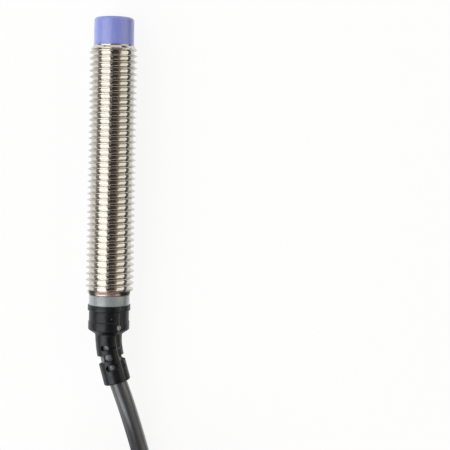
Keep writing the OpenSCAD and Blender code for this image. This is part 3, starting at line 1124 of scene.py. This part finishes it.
def add_floor():
    """A white light table: it glows evenly for the camera, and for other rays it glows in
    painted bands with a painted shadow under the sensor, over a dim lit skin.
    """
    bpy.ops.mesh.primitive_plane_add(size=4, location=(0, -0.05, (FLOOR - 0.02) * MM))
    floor = bpy.context.object
    floor.name = "floor"
    material = bpy.data.materials.new("light_table")
    material.use_nodes = True
    nodes, links = material.node_tree.nodes, material.node_tree.links
    nodes.clear()
    out = nodes.new("ShaderNodeOutputMaterial")
    both = nodes.new("ShaderNodeAddShader")
    glow = nodes.new("ShaderNodeEmission")
    skin = nodes.new("ShaderNodeBsdfDiffuse")
    path = nodes.new("ShaderNodeLightPath")
    level = nodes.new("ShaderNodeMapRange")
    level.inputs["To Max"].default_value = SEEN_LEVEL
    skin.inputs["Color"].default_value = (0.1, 0.1, 0.1, 1)
    links.new(path.outputs["Is Camera Ray"], level.inputs["Value"])
    links.new(painted_light_strip(nodes, links), level.inputs["To Min"])
    links.new(level.outputs["Result"], glow.inputs["Strength"])
    links.new(glow.outputs["Emission"], both.inputs[0])
    links.new(skin.outputs["BSDF"], both.inputs[1])
    links.new(both.outputs["Shader"], out.inputs["Surface"])
    floor.data.materials.append(material)


def softbox(name, start, end, level, colour, tail=-0.475, head=0.425, distance=FAR):
    """A long softbox beside the barrel, between two angles from overhead (+ is +X)."""
    middle, half = (start + end) / 2, abs(end - start) / 2
    size = 2 * distance * math.tan(math.radians(half))
    aim = math.radians(middle)
    way = Vector((math.sin(aim), 0, math.cos(aim)))
    lamp(name, way, distance, (head - tail, size), level, colour, (head + tail) / 2)


def lamp(name, way, distance, size, level, colour, y=-0.025):
    """A rectangular light of an even radiance, aimed at a place on the barrel's axis."""
    target = Vector((0, y, 0))
    data = bpy.data.lights.new(name, "AREA")
    data.shape = "RECTANGLE"
    data.size, data.size_y = size
    data.energy = level * math.pi * size[0] * size[1]
    data.color = colour
    light = bpy.data.objects.new(name, data)
    light.location = target + way * distance
    side = Vector((0, 1, 0)) if abs(way.y) < 0.5 else Vector((1, 0, 0))
    up = way.cross(side)
    light.rotation_euler = Matrix((side, up, way)).transposed().to_euler()
    bpy.context.collection.objects.link(light)


def add_lights():
    """Softboxes along both sides, one over the head end, and a dim warm room."""
    cool, warm = (0.92, 0.96, 1.0), (1.0, 0.975, 0.87)
    softbox("left_softbox", -68, -14, 1.44, (1.0, 0.995, 0.97))
    softbox("left_head_softbox", -67, -12, 1.6, cool, tail=0.03, head=0.075, distance=NEAR)
    softbox("left_tail_softbox", -67, -18, 1.7, cool, tail=-0.25, head=-0.095, distance=NEAR)
    softbox("left_cable_softbox", -56, 0, 2.4, cool, tail=-0.53, head=-0.33, distance=NEAR)
    softbox("left_fill", -92, -68, 0.22, (1.0, 0.97, 0.93))
    softbox("right_softbox", 49, 92, 0.6, (1.0, 0.98, 0.9), tail=-0.26)
    softbox("right_barrel_softbox", 49, 92, 0.8, warm, tail=-0.095, head=0.03, distance=NEAR)
    softbox("right_head_softbox", 44, 92, 0.8, warm, tail=0.08, distance=NEAR)
    softbox("right_tail_softbox", 50, 92, 0.4, cool, head=-0.26, distance=NEAR)
    softbox("right_edge", 33, 49, 0.16, (1.0, 0.78, 0.66))
    softbox("right_edge_near", 41, 49, 0.26, (1.0, 0.80, 0.70), distance=NEAR)
    tilt = math.radians(66)
    lamp("head_softbox", Vector((0, math.sin(tilt), math.cos(tilt))), 0.5, (0.5, 0.46),
         0.8, (1.0, 1.0, 1.0))
    add_world()


def add_world():
    """A dim warm room that the camera sees as a pale backdrop."""
    world = bpy.data.worlds.new("studio")
    world.use_nodes = True
    sky = world.node_tree.nodes["Background"]
    seen = world.node_tree.nodes.new("ShaderNodeLightPath")
    tone = world.node_tree.nodes.new("ShaderNodeMix")
    tone.data_type = "RGBA"
    tone.inputs[6].default_value = (0.075, 0.06, 0.0465, 1)
    tone.inputs[7].default_value = (0.88, 0.88, 0.88, 1)
    world.node_tree.links.new(seen.outputs["Is Camera Ray"], tone.inputs["Factor"])
    world.node_tree.links.new(tone.outputs[2], sky.inputs["Color"])
    bpy.context.scene.world = world


# ---------------------------------------------------------------- making it all

bpy.context.scene.view_settings.view_transform = "Standard"
add_camera()
cable, cable_line = add_cable()
lead_pieces = add_leads(cable_line[-1])
tie = add_tie()
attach(cable, END)
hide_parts("cable_tube", "cable_hank")
dress_cad_nodes()
add_cap()
add_barrel()
add_ring()
add_relief()
add_floor()
add_lights()
